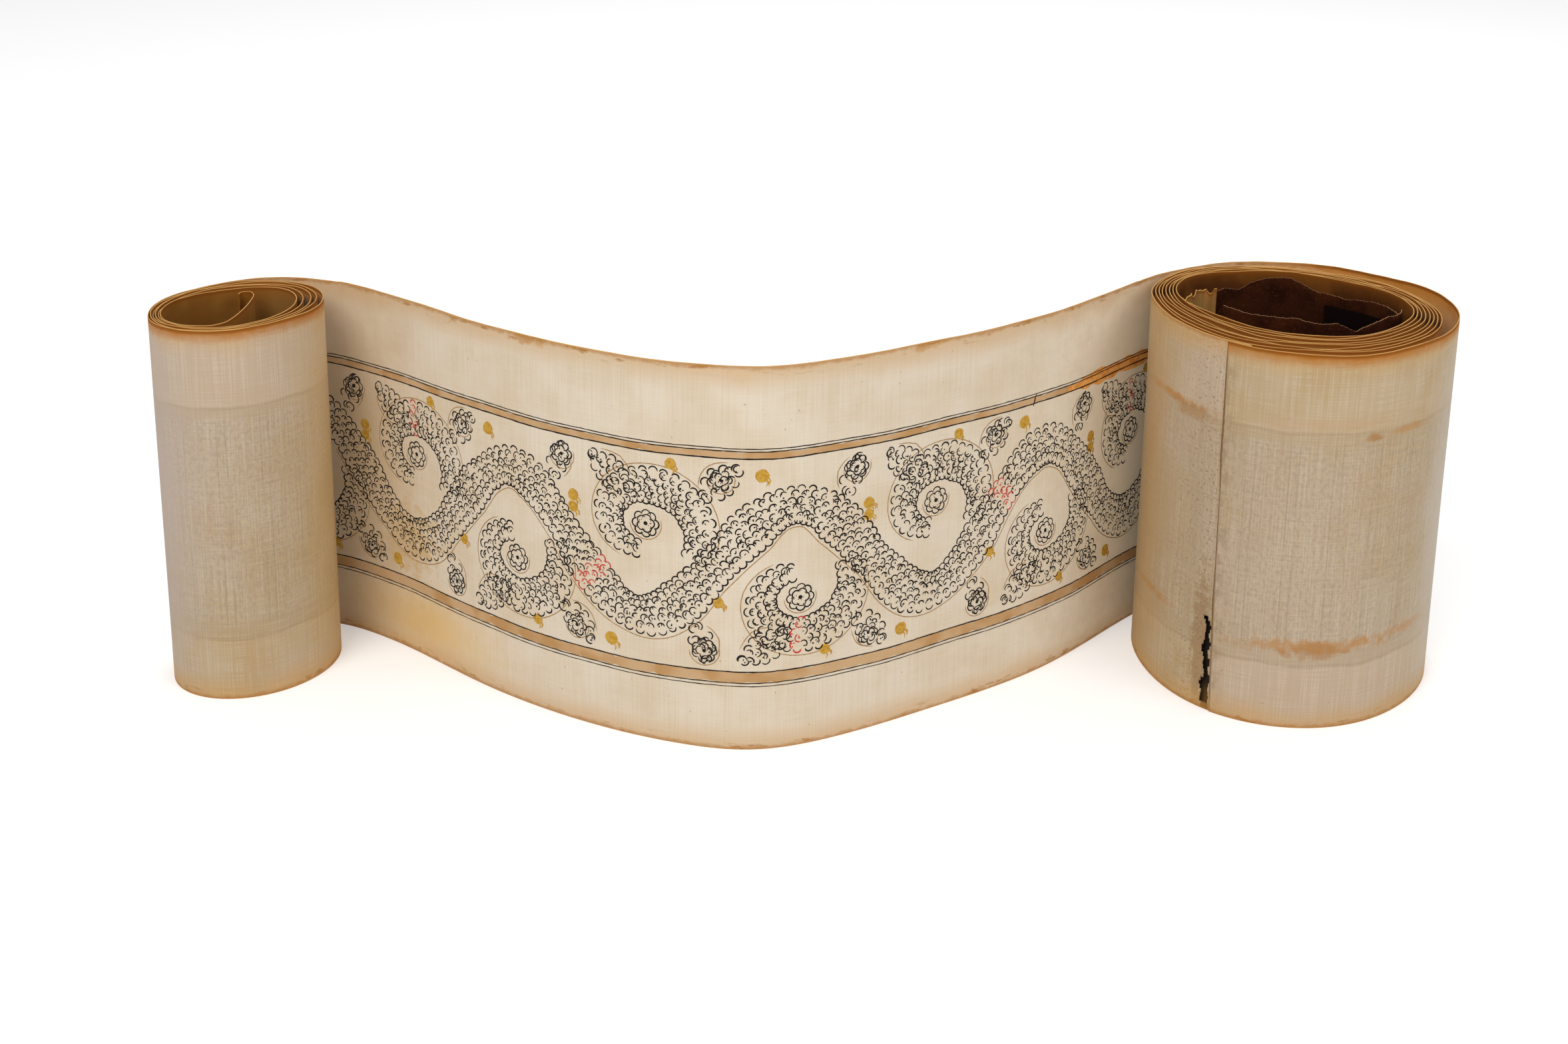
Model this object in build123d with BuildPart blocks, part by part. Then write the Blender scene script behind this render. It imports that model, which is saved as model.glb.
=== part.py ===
"""A paper scroll that stands on its edge, open between a small roll and a large roll.

Three separate pieces: the long ruled sheet with the left roll, the open stretch and the right roll's
outermost turn; the sheet pasted on behind it, wound into the right roll; and the torn leaf inside that.
"""
import os
from math import cos, hypot, pi, radians, sin

from build123d import *

os.makedirs("parts", exist_ok=True)

# Sheet sizes, in millimetres
sheet_height = 100.0
sheet_thickness = 0.32
lap_length = 6.4
paste_gap = 0.03
seam_slant = 2.4

# Places of the two roll axes
roll_distance = 273.7
roll_setback = 9.7

# Left roll: an oval whose long axis points back and to the right
left_half_length = 24.2
left_half_breadth = 20.2
left_long_axis = radians(58)
left_leave_angle = radians(97)
left_turns = 5.4
left_tight_air = 1.5
left_loose_air = 5.3
left_loose_side = radians(40)
left_loose_sharpness = 1.5
left_air_shares = (0.0, 0.17, 0.38, 0.54, 0.82, 1.0, 1.0)

# Right roll: a rounder oval with three soft corners
right_half_length = 41.6
right_half_breadth = 39.2
right_long_axis = radians(90)
right_lobe = 1.2
right_lobe_axis = radians(-45)
right_lobe_count = 3
right_meet_angle = radians(119)
right_seam_angle = radians(-128.5)
right_turns = 8.2
right_tight_air = 2.6
right_loose_air = 10.0
right_loose_side = radians(256)
right_loose_sharpness = 2
right_air_shares = (0.0, 0.12, 0.24, 0.35, 0.47, 0.62, 0.75, 0.88, 1.0, 1.0)

# Outermost turn of the right roll, which stands off the turns inside it
outer_turn_air = 0.5
outer_turn_standoff = 6.3
outer_turn_side = radians(38)
outer_turn_sharpness = 3.5
outer_turn_settle = radians(95)

# Open stretch: it bows to the front between the rolls
strip_bow = 47.0
strip_shares = (
    (0.031, 0.357), (0.182, -0.245), (0.316, -0.690), (0.439, -0.940),
    (0.515, -1.000), (0.616, -0.847), (0.740, -0.485), (0.875, -0.004),
)
left_strip_air = 3.4
right_strip_air = 2.6
strip_leave_turn = radians(38)
strip_meet_turn = radians(31)

# Free inner end of the left roll, which crosses the hollow and hooks over
tongue_shares = (
    (-0.200, -0.785), (-0.095, -0.765), (-0.010, -0.680), (0.035, -0.550), (0.065, -0.390), (0.090, -0.170),
    (0.103, 0.080), (0.092, 0.290), (0.045, 0.435), (-0.020, 0.490), (-0.080, 0.460), (-0.090, 0.395),
)

# Free inner end of the right roll, a small flap that curls into the hollow
flap_shares = ((-0.690, 0.250), (-0.640, 0.360), (-0.560, 0.415), (-0.480, 0.400))

# Torn leaf inside the right roll
leaf_thickness = 0.6
leaf_clearance = 0.5
leaf_bow = 12.0
leaf_bow_side = radians(248)
leaf_bow_sharpness = 2
leaf_start_angle = radians(174)
leaf_end_angle = radians(487)
leaf_ripple = 0.25
leaf_ripple_count = 9
leaf_tear = 6.0
front_tear_shares = (
    (-0.80, 0.05), (-0.52, 0.02), (-0.36, 0.17), (-0.10, 0.03), (0.03, 0.15), (0.15, 0.12),
    (0.22, 0.30), (0.27, 0.48), (0.33, 0.28), (0.50, 0.05), (0.80, 0.25),
)
back_tear_shares = (
    (-0.80, 1.00), (-0.50, 0.97), (-0.36, 0.80), (-0.24, 0.90), (-0.16, 0.55), (-0.04, 0.30),
    (0.10, 0.23), (0.20, 0.52), (0.28, 0.75), (0.33, 0.72), (0.44, 0.80), (0.55, 0.66), (0.80, 0.42),
)

# Crack beside the pasted seam, from the bottom edge upwards
crack_height = 26.0
crack_width = 1.9
crack_offset = 0.6
crack_depth = 0.48
crack_shares = (
    (0.0, 0.0), (0.30, 0.10), (0.12, 0.22), (0.42, 0.38), (0.30, 0.55), (0.55, 0.72), (0.48, 0.86), (0.62, 1.0),
    (0.80, 0.84), (0.72, 0.66), (0.88, 0.50), (0.70, 0.34), (1.00, 0.20), (0.86, 0.10), (1.0, 0.0),
)

# Spacing of the points that carry the curves, and the overrun of the cuts
# Each sheet is a chain of short curves, which stay separate faces
point_spacing = 3.2
tongue_spacing = 0.8
points_per_curve = 12
cut_overrun = 1.0


def side_share(angle, side, sharpness):
    """One towards the named side of a roll, falling to nothing opposite it."""
    return ((1 + cos(angle - side)) / 2) ** sharpness


def table_share(shares, turns):
    """Reads a table of shares, one entry for each whole turn, between its entries."""
    whole = min(int(turns), len(shares) - 2)
    part_share = min(turns - whole, 1)
    return shares[whole] + (shares[whole + 1] - shares[whole]) * part_share


def oval_radius(angle, half_length, half_breadth, long_axis):
    """Distance from the middle of an oval to its rim."""
    turned = angle - long_axis
    return half_length * half_breadth / hypot(half_breadth * cos(turned), half_length * sin(turned))


def left_radius(turned):
    """Left roll, anticlockwise and inwards from where the open stretch leaves it."""
    angle = left_leave_angle + turned
    turns = turned / (2 * pi)
    air = left_tight_air + left_loose_air * side_share(angle, left_loose_side, left_loose_sharpness)
    rim = oval_radius(angle, left_half_length, left_half_breadth, left_long_axis)
    return rim - turns * sheet_thickness - table_share(left_air_shares, turns) * air


def right_rim(angle):
    """Outermost turn of the right roll."""
    rim = oval_radius(angle, right_half_length, right_half_breadth, right_long_axis)
    return rim - right_lobe * cos(right_lobe_count * (angle - right_lobe_axis))


lap_angle = lap_length / right_rim(right_seam_angle)
right_start_angle = right_seam_angle + lap_angle


def right_inner_radius(angle, turns, settled_share):
    """Turns of the right roll inside its outermost turn."""
    standoff = outer_turn_air + outer_turn_standoff * side_share(angle, outer_turn_side, outer_turn_sharpness)
    air = right_tight_air + right_loose_air * side_share(angle, right_loose_side, right_loose_sharpness)
    inset = sheet_thickness + paste_gap + settled_share * standoff
    return right_rim(angle) - inset - turns * sheet_thickness - table_share(right_air_shares, turns) * air


def right_radius(turned):
    """Right roll, clockwise and inwards from the hidden edge under the pasted seam."""
    after_lap = max(turned - lap_angle, 0)
    ease = min(after_lap / outer_turn_settle, 1)
    settled_share = ease * ease * (3 - 2 * ease)
    return right_inner_radius(right_start_angle - turned, turned / (2 * pi), settled_share)


def polar(centre, radius, angle):
    return Vector(centre[0] + radius * cos(angle), centre[1] + radius * sin(angle))


def steps(span, radius):
    """Enough steps along an arc to keep its points about evenly spaced."""
    return max(int(abs(span) * radius / point_spacing), 2)


def run_of_points(points, spacing):
    """Evenly spaced points of the smooth curve through a few chosen ones."""
    with BuildLine() as curve:
        Spline(*points)
    edge = curve.edge()
    count = max(int(edge.length / spacing), 2)
    return [edge.position_at(i / count) for i in range(count + 1)]


left_axis = (0.0, 0.0)
right_axis = (roll_distance, roll_setback)


def left_turn_points():
    """The left roll, outwards from where its free end leaves the wall."""
    span = left_turns * 2 * pi
    count = steps(span, left_half_breadth)
    turns = [span * (count - i) / count for i in range(count + 1)]
    return [polar(left_axis, left_radius(t), left_leave_angle + t) for t in turns]


def tongue_points(wall):
    """The free inner end of the left roll, from its hook to the wall that it leaves."""
    chosen = [Vector(x * left_half_length, y * left_half_length) for x, y in tongue_shares]
    return run_of_points(wall + chosen, tongue_spacing)[::-1]


def open_strip_points(before, after):
    """The open stretch, between the last points of the left roll and the first of the right."""
    inner_left = left_axis[0] + oval_radius(0, left_half_length, left_half_breadth, left_long_axis)
    inner_right = right_axis[0] - right_rim(pi)
    span = inner_right - inner_left
    leave = left_leave_angle - strip_leave_turn
    leave_radius = oval_radius(leave, left_half_length, left_half_breadth, left_long_axis) + left_strip_air
    meet = right_meet_angle + strip_meet_turn
    meet_radius = right_rim(meet) + right_strip_air
    middle = [Vector(inner_left + x * span, y * strip_bow) for x, y in strip_shares]
    left_end, right_end = polar(left_axis, leave_radius, leave), polar(right_axis, meet_radius, meet)
    return run_of_points(before + [left_end] + middle + [right_end] + after, point_spacing)


def outer_turn_points():
    """The right roll's outermost turn, from where the open stretch meets it to the seam."""
    span = right_meet_angle - right_seam_angle
    count = steps(span, right_half_breadth)
    angles = [right_meet_angle - span * i / count for i in range(count + 1)]
    return [polar(right_axis, right_rim(a), a) for a in angles]


def text_sheet_points():
    """The whole ruled sheet, from the hook in the left roll to the seam on the right roll."""
    left_turn = left_turn_points()
    outer_turn = outer_turn_points()
    tongue = tongue_points(left_turn[1::-1])
    strip = open_strip_points(left_turn[-2:], outer_turn[:2])
    return tongue + left_turn[2:-2] + strip + outer_turn[2:]


def inner_sheet_points():
    """The pasted-on sheet, from its edge under the seam to the flap in the hollow."""
    span = right_turns * 2 * pi
    count = steps(span, right_half_breadth)
    turns = [span * i / count for i in range(count + 1)]
    wound = [polar(right_axis, right_radius(t), right_start_angle - t) for t in turns]
    chosen = [Vector(*right_axis) + Vector(x, y) * right_half_breadth for x, y in flap_shares]
    return wound[:-2] + run_of_points(wound[-2:] + chosen, tongue_spacing)


def leaf_points():
    """The torn leaf: it lines the back of the hollow and stands free of the front."""
    span = leaf_end_angle - leaf_start_angle
    count = steps(span, right_half_breadth)
    points = []
    for i in range(count + 1):
        angle = leaf_start_angle + span * i / count
        wall = right_inner_radius(angle, right_turns, 1) - (sheet_thickness + leaf_thickness) / 2
        bow = leaf_bow * side_share(angle, leaf_bow_side, leaf_bow_sharpness)
        ripple = leaf_ripple * (1 + sin(leaf_ripple_count * angle))
        points.append(polar(right_axis, wall - leaf_clearance - bow - ripple, angle))
    return points


def directions(points):
    """The way that a row of points runs at each of them."""
    ways = []
    for i in range(len(points)):
        before = points[i] - points[max(i - 1, 0)]
        after = points[min(i + 1, len(points) - 1)] - points[i]
        if before.length == 0 or after.length == 0:
            ways.append((before + after).normalized())
        else:
            nearer = before.normalized() * after.length + after.normalized() * before.length
            ways.append(nearer.normalized())
    return ways


def two_faces(points, thickness):
    """Moves a centreline half a thickness to each side: two rows of points and the way that both run."""
    ways = directions(points)
    left_row, right_row = [], []
    for place, along in zip(points, ways):
        across = Vector(-along.Y, along.X) * (thickness / 2)
        left_row.append(place + across)
        right_row.append(place - across)
    return left_row, right_row, ways


text_rows = two_faces(text_sheet_points(), sheet_thickness)
inner_rows = two_faces(inner_sheet_points(), sheet_thickness)
leaf_rows = two_faces(leaf_points(), leaf_thickness)

# The origin is the middle of the plan, on the surface that the scroll stands on
plan_x = [p.X for row in text_rows[:2] for p in row]
plan_y = [p.Y for row in text_rows[:2] for p in row]
origin_shift = Vector(-(min(plan_x) + max(plan_x)) / 2, -(min(plan_y) + max(plan_y)) / 2)
right_middle = Vector(*right_axis) + origin_shift


def seam_plane(inset):
    """Upright plane that touches the right roll at the seam: X runs back along the sheet, Z points out."""
    place = Vector(*polar(right_axis, right_rim(right_seam_angle) - inset, right_seam_angle)) + origin_shift
    outward = Vector(cos(right_seam_angle), sin(right_seam_angle))
    return Plane(origin=place, x_dir=Vector(-outward.Y, outward.X), z_dir=outward)


def smooth_chain(row, ways):
    """One face of a sheet as a chain of short curves that run smoothly into each other."""
    starts = range(0, len(row) - 1, points_per_curve)
    ends = [min(start + points_per_curve, len(row) - 1) for start in starts]
    return [Spline(*row[a:b + 1], tangents=(ways[a], ways[b])) for a, b in zip(starts, ends)]


def section(rows):
    """The sheet as seen from above: a face between two chains of curves and two short ends."""
    left_row, right_row = [[p + origin_shift for p in row] for row in rows[:2]]
    there = smooth_chain(left_row, rows[2])
    back = smooth_chain(right_row, rows[2])[::-1]
    last_end, first_end = Line(left_row[-1], right_row[-1]), Line(right_row[0], left_row[0])
    return Face(Wire(there + [last_end] + back + [first_end]))


text_section = section(text_rows)
inner_section = section(inner_rows)
leaf_section = section(leaf_rows)

# Ruled sheet: left roll, open stretch and outermost turn of the right roll
with BuildPart() as text_sheet:
    extrude(text_section, amount=sheet_height, dir=(0, 0, 1), clean=False)
    # The pasted edge leans, so the sheet is cut back towards the bottom of the seam
    with BuildSketch(seam_plane(0)):
        with BuildLine():
            Polyline(
                (seam_slant, 0), (0, sheet_height), (-cut_overrun, sheet_height + cut_overrun),
                (-cut_overrun, -cut_overrun), (seam_slant, -cut_overrun), close=True,
            )
        make_face()
    extrude(amount=sheet_thickness, both=True, mode=Mode.SUBTRACT)

# Sheet pasted on under the seam, wound eight times inwards
with BuildPart() as inner_sheet:
    extrude(inner_section, amount=sheet_height, dir=(0, 0, 1), clean=False)
    # The crack is open through this layer alone
    crack_start = seam_slant - crack_offset
    crack_points = [(crack_start - x * crack_width, y * crack_height) for x, y in crack_shares]
    crack_foot = [(crack_points[-1][0], -cut_overrun), (crack_points[0][0], -cut_overrun)]
    with BuildSketch(seam_plane(sheet_thickness + paste_gap)):
        with BuildLine():
            Polyline(*crack_points, *crack_foot, close=True)
        make_face()
    extrude(amount=crack_depth, both=True, mode=Mode.SUBTRACT)


def draw_tear(shares):
    """The part of the leaf's height that is torn away, as a shape in the plane across the roll."""
    size = right_half_breadth
    line = [(right_middle.X + x * size, sheet_height - y * leaf_tear) for x, y in shares]
    above = sheet_height + cut_overrun
    Polyline(*line, (line[-1][0], above), (line[0][0], above), close=True)


# Torn leaf, open to the left
with BuildPart() as end_leaf:
    extrude(leaf_section, amount=sheet_height, dir=(0, 0, 1), clean=False)
    tear_plane = Plane.XZ.offset(-right_middle.Y)
    with BuildSketch(tear_plane):
        with BuildLine():
            draw_tear(front_tear_shares)
        make_face()
    extrude(amount=right_half_length, mode=Mode.SUBTRACT)
    with BuildSketch(tear_plane):
        with BuildLine():
            draw_tear(back_tear_shares)
        make_face()
    extrude(amount=-right_half_length, mode=Mode.SUBTRACT)

for name, piece in (("text_sheet", text_sheet), ("inner_sheet", inner_sheet), ("end_leaf", end_leaf)):
    piece.part.label = name
    export_step(piece.part, f"parts/{name}.step")
    print(name, "solids", len(piece.part.solids()), "volume", round(piece.part.volume))
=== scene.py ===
"""Dresses the paper scroll: its two sheets and torn leaf as fine meshes, with inked rules and ornament."""
import random
from math import atan2, ceil, cos, pi, radians, sin

import bpy
import numpy as np
from mathutils import Matrix, Vector


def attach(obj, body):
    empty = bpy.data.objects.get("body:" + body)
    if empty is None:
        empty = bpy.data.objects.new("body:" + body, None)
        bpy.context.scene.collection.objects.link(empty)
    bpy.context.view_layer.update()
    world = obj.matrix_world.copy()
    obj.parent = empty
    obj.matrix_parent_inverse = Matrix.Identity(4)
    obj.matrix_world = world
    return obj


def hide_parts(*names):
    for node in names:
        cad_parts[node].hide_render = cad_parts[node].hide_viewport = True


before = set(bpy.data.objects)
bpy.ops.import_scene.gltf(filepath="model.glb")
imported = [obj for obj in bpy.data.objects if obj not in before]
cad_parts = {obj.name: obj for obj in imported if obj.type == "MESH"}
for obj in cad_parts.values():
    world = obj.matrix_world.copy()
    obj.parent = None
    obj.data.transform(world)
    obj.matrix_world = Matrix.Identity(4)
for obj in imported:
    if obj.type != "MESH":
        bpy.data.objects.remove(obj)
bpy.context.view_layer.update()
MM = 0.001
draw = random.Random(27)

# The same named sizes as the solids, in millimetres
HEIGHT = 100.0
THICKNESS = 0.32
LAP = 6.4
PASTE_GAP = 0.03
SEAM_SLANT = 2.4
LEFT_AXIS = (0.0, 0.0)
RIGHT_AXIS = (273.7, 9.7)
ORIGIN_SHIFT = np.array((-146.285, -1.754))

# The air in a roll: its tight side, what the loose side has more, the way to that side, how narrow that is
LEFT_LENGTH, LEFT_BREADTH, LEFT_LONG = 24.2, 20.2, radians(58)
LEFT_LEAVE = radians(97)
LEFT_TURNS = 5.4
LEFT_AIR = (1.5, 5.3, radians(40), 1.5)
LEFT_AIR_SHARES = (0.0, 0.17, 0.38, 0.54, 0.82, 1.0, 1.0)

RIGHT_LENGTH, RIGHT_BREADTH, RIGHT_LONG = 41.6, 39.2, radians(90)
RIGHT_LOBE, RIGHT_LOBE_AXIS, RIGHT_LOBES = 1.2, radians(-45), 3
RIGHT_MEET = radians(119)
RIGHT_SEAM = radians(-128.5)
RIGHT_TURNS = 8.2
RIGHT_AIR = (2.6, 10.0, radians(256), 2.0)
RIGHT_AIR_SHARES = (0.0, 0.12, 0.24, 0.35, 0.47, 0.62, 0.75, 0.88, 1.0, 1.0)
OUTER_AIR = (0.5, 6.3, radians(38), 3.5)
OUTER_SETTLE = radians(95)

STRIP_BOW = 47.0
STRIP_SHARES = (
    (0.031, 0.357), (0.182, -0.245), (0.316, -0.690), (0.439, -0.940),
    (0.515, -1.000), (0.616, -0.847), (0.740, -0.485), (0.875, -0.004),
)
LEFT_STRIP_AIR, RIGHT_STRIP_AIR = 3.4, 2.6
STRIP_LEAVE_TURN, STRIP_MEET_TURN = radians(38), radians(31)
TONGUE_SHARES = (
    (-0.200, -0.785), (-0.095, -0.765), (-0.010, -0.680), (0.035, -0.550), (0.065, -0.390), (0.090, -0.170),
    (0.103, 0.080), (0.092, 0.290), (0.045, 0.435), (-0.020, 0.490), (-0.080, 0.460), (-0.090, 0.395),
)
FLAP_SHARES = ((-0.690, 0.250), (-0.640, 0.360), (-0.560, 0.415), (-0.480, 0.400))

LEAF_THICKNESS = 0.6
LEAF_CLEARANCE = 0.5
LEAF_BOW, LEAF_BOW_SIDE, LEAF_BOW_SHARPNESS = 12.0, radians(248), 2
LEAF_START, LEAF_END = radians(174), radians(487)
LEAF_RIPPLE, LEAF_RIPPLES = 0.25, 9
LEAF_TEAR = 6.0
FRONT_TEAR = (
    (-0.80, 0.05), (-0.52, 0.02), (-0.36, 0.17), (-0.10, 0.03), (0.03, 0.15), (0.15, 0.12),
    (0.22, 0.30), (0.27, 0.48), (0.33, 0.28), (0.50, 0.05), (0.80, 0.25),
)
BACK_TEAR = (
    (-0.80, 1.00), (-0.50, 0.97), (-0.36, 0.80), (-0.24, 0.90), (-0.16, 0.55), (-0.04, 0.30),
    (0.10, 0.23), (0.20, 0.52), (0.28, 0.75), (0.33, 0.72), (0.44, 0.80), (0.55, 0.66), (0.80, 0.42),
)
CRACK_HEIGHT, CRACK_WIDTH, CRACK_OFFSET = 26.0, 1.9, 0.6
POINT_SPACING, TONGUE_SPACING = 3.2, 0.8
RUN_FINENESS, RIBBON_FINENESS, STRIP_SPACING = 800, 600, 0.25

# Lengths along the ruled sheet from which the ends of its open stretch are looked for
STRIP_START_LOW, STRIP_END_LOW = 500.0, 700.0
# How far from the seam the places of stains are looked for, on the inner sheet and on the ruled one
FIRST_TURN, OUTER_TURN = 70.0, 190.0

# Slow buckles of the paper: a depth, a length in plan, a lean over the sheet's height, and a start
BUCKLES_X = ((0.128, 13.0, 3.1, 0.0), (0.096, 9.0, -5.0, 1.3))
BUCKLES_Y = ((0.128, 15.0, 2.6, 0.7), (0.096, 10.0, 5.5, 0.0))

# Gaps from a cut edge, and the share of the thickness that is left there
EDGE_GAPS, EDGE_SHARES = (0.0, 0.18, 0.5), (0.6, 0.9, 1.0)


def side_share(angle, side, sharpness):
    return ((1 + np.cos(angle - side)) / 2) ** sharpness


def table_share(shares, turns):
    return np.interp(turns, range(len(shares)), shares)


def oval_radius(angle, length, breadth, long_axis):
    turned = angle - long_axis
    return length * breadth / np.hypot(breadth * np.cos(turned), length * np.sin(turned))


def left_radius(turned):
    """How far the ruled sheet is from the left roll's axis, by the angle turned inwards."""
    tight, loose, side, sharpness = LEFT_AIR
    turns = turned / (2 * pi)
    air = tight + loose * side_share(LEFT_LEAVE + turned, side, sharpness)
    rim = oval_radius(LEFT_LEAVE + turned, LEFT_LENGTH, LEFT_BREADTH, LEFT_LONG)
    return rim - turns * THICKNESS - table_share(LEFT_AIR_SHARES, turns) * air


def right_rim(angle):
    """How far the outermost turn is from the right roll's axis."""
    rim = oval_radius(angle, RIGHT_LENGTH, RIGHT_BREADTH, RIGHT_LONG)
    return rim - RIGHT_LOBE * np.cos(RIGHT_LOBES * (angle - RIGHT_LOBE_AXIS))


def right_inner_radius(angle, turns, settled):
    """How far a turn is from the right roll's axis. A settled one leaves the outer turn its full air."""
    outer_air, standoff, outer_side, outer_sharpness = OUTER_AIR
    tight, loose, side, sharpness = RIGHT_AIR
    under_outer = outer_air + standoff * side_share(angle, outer_side, outer_sharpness)
    inset = THICKNESS + PASTE_GAP + settled * under_outer
    air = tight + loose * side_share(angle, side, sharpness)
    return right_rim(angle) - inset - turns * THICKNESS - table_share(RIGHT_AIR_SHARES, turns) * air


LAP_ANGLE = LAP / right_rim(RIGHT_SEAM)
RIGHT_START = RIGHT_SEAM + LAP_ANGLE


def right_radius(turned):
    ease = np.clip((turned - LAP_ANGLE) / OUTER_SETTLE, 0, 1)
    return right_inner_radius(RIGHT_START - turned, turned / (2 * pi), ease * ease * (3 - 2 * ease))


def polar(centre, radius, angle):
    return np.stack((centre[0] + radius * np.cos(angle), centre[1] + radius * np.sin(angle)), axis=-1)


def steps(span, radius):
    return max(int(abs(span) * radius / POINT_SPACING), 2)


def running_lengths(points):
    """The length from the first point to each of a row of points."""
    return np.concatenate(([0.0], np.cumsum(np.linalg.norm(np.diff(points, axis=0), axis=1))))


def curve_through(points, count):
    """Points close together on a smooth cubic curve through a few, and the length up to each."""
    points = np.asarray(points, float)
    knots = running_lengths(points)
    gaps = np.diff(knots)
    last = len(points) - 1
    matrix, right = np.eye(last + 1), np.zeros((last + 1, 2))
    for i in range(1, last):
        matrix[i, i - 1:i + 2] = gaps[i - 1] / 6, (gaps[i - 1] + gaps[i]) / 3, gaps[i] / 6
        right[i] = (points[i + 1] - points[i]) / gaps[i] - (points[i] - points[i - 1]) / gaps[i - 1]
    bends = np.linalg.solve(matrix, right)
    where = np.linspace(0, knots[-1], count)
    i = np.clip(np.searchsorted(knots, where, side="right") - 1, 0, last - 1)
    gap = gaps[i][:, None]
    b = (where - knots[i])[:, None] / gap
    a = 1 - b
    fine = (a * points[i] + b * points[i + 1]
            + ((a ** 3 - a) * bends[i] + (b ** 3 - b) * bends[i + 1]) * gap ** 2 / 6)
    return fine, running_lengths(fine)


def between(marks, lengths, rows):
    """The two columns of a table, read at lengths between its rows."""
    return [np.interp(marks, lengths, rows[:, k]) for k in (0, 1)]


def run_of_points(points, spacing):
    """Evenly spaced points of the smooth curve through a few chosen ones."""
    fine, lengths = curve_through(points, RUN_FINENESS)
    marks = np.linspace(0, lengths[-1], max(int(lengths[-1] / spacing), 2) + 1)
    return np.stack(between(marks, lengths, fine), axis=-1)


def text_sheet_points():
    """Centreline of the ruled sheet, with the points at which the open stretch starts and ends."""
    span = LEFT_TURNS * 2 * pi
    turned = np.linspace(span, 0, steps(span, LEFT_BREADTH) + 1)
    left_turn = polar(LEFT_AXIS, left_radius(turned), LEFT_LEAVE + turned)
    chosen = np.array(TONGUE_SHARES) * LEFT_LENGTH
    tongue = run_of_points(np.vstack((left_turn[1::-1], chosen)), TONGUE_SPACING)[::-1]
    angles = np.linspace(RIGHT_MEET, RIGHT_SEAM, steps(RIGHT_MEET - RIGHT_SEAM, RIGHT_BREADTH) + 1)
    outer_turn = polar(RIGHT_AXIS, right_rim(angles), angles)
    inner_left = LEFT_AXIS[0] + oval_radius(0, LEFT_LENGTH, LEFT_BREADTH, LEFT_LONG)
    reach = RIGHT_AXIS[0] - right_rim(pi) - inner_left
    leave, meet = LEFT_LEAVE - STRIP_LEAVE_TURN, RIGHT_MEET + STRIP_MEET_TURN
    leave_radius = oval_radius(leave, LEFT_LENGTH, LEFT_BREADTH, LEFT_LONG) + LEFT_STRIP_AIR
    middle = [(inner_left + x * reach, y * STRIP_BOW) for x, y in STRIP_SHARES]
    strip = run_of_points(np.vstack((
        left_turn[-2:], polar(LEFT_AXIS, leave_radius, leave), middle,
        polar(RIGHT_AXIS, right_rim(meet) + RIGHT_STRIP_AIR, meet), outer_turn[:2])), POINT_SPACING)
    return np.vstack((tongue, left_turn[2:-2], strip, outer_turn[2:])), left_turn[-1], outer_turn[0]


def inner_sheet_points():
    span = RIGHT_TURNS * 2 * pi
    turned = np.linspace(0, span, steps(span, RIGHT_BREADTH) + 1)
    wound = polar(RIGHT_AXIS, right_radius(turned), RIGHT_START - turned)
    chosen = np.array(RIGHT_AXIS) + np.array(FLAP_SHARES) * RIGHT_BREADTH
    return np.vstack((wound[:-2], run_of_points(np.vstack((wound[-2:], chosen)), TONGUE_SPACING)))


def leaf_points():
    span = LEAF_END - LEAF_START
    angles = LEAF_START + np.linspace(0, span, 2 * steps(span, RIGHT_BREADTH) + 1)
    wall = right_inner_radius(angles, RIGHT_TURNS, 1) - (THICKNESS + LEAF_THICKNESS) / 2
    bow = LEAF_BOW * side_share(angles, LEAF_BOW_SIDE, LEAF_BOW_SHARPNESS)
    ripple = LEAF_RIPPLE * (1 + np.sin(LEAF_RIPPLES * angles))
    return polar(RIGHT_AXIS, wall - LEAF_CLEARANCE - bow - ripple, angles)


def buckle(waves, places, rise):
    """How far a buckle pushes the paper. Each wave runs along its own direction of the plan."""
    return sum(depth * np.sin(place / length + rise * lean + start)
               for place, (depth, length, lean, start) in zip(places, waves))


def buckled(x, y, z):
    """Slow buckles that neighbouring sheets share, so that they stay clear of one another."""
    rise = np.asarray(z) / HEIGHT
    return x + buckle(BUCKLES_X, (y, x), rise), y + buckle(BUCKLES_Y, (x, y), rise), z + 0 * x


class Strip:
    """A standing strip of paper: its centreline in plan, read by the length along it."""

    def __init__(self, points, thickness):
        fine, self.marks = curve_through(points, int(running_lengths(points)[-1] / STRIP_SPACING))
        self.plan = fine + ORIGIN_SHIFT
        self.length = self.marks[-1]
        along = np.gradient(self.plan, self.marks, axis=0)
        along /= np.linalg.norm(along, axis=1)[:, None]
        self.across = np.stack((-along[:, 1], along[:, 0]), axis=-1)
        self.thickness = thickness

    def place(self, along, height, offset):
        """Points in metres. The offset is to the left of the way that the sheet runs."""
        x, y = between(along, self.marks, self.plan)
        u, v = between(along, self.marks, self.across)
        size = np.hypot(u, v)
        x, y = x + u / size * offset, y + v / size * offset
        return np.stack(buckled(x, y, height), axis=-1) * MM

    def nearest(self, point, low, high=None):
        """The length along the sheet at which it passes nearest a point of the plan."""
        allowed = (self.marks >= low) & (self.marks <= (self.length if high is None else high))
        away = np.linalg.norm(self.plan - np.asarray(point), axis=1)
        return float(self.marks[np.argmin(np.where(allowed, away, np.inf))])


def wander(values, seed, *waves):
    """Smooth unevenness between -1 and 1 along a length, from a few sine waves of given lengths."""
    phases = random.Random(seed)
    total = sum(np.sin(np.asarray(values) * 2 * pi / wave + phases.uniform(0, 2 * pi)) for wave in waves)
    return total / len(waves)


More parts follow.
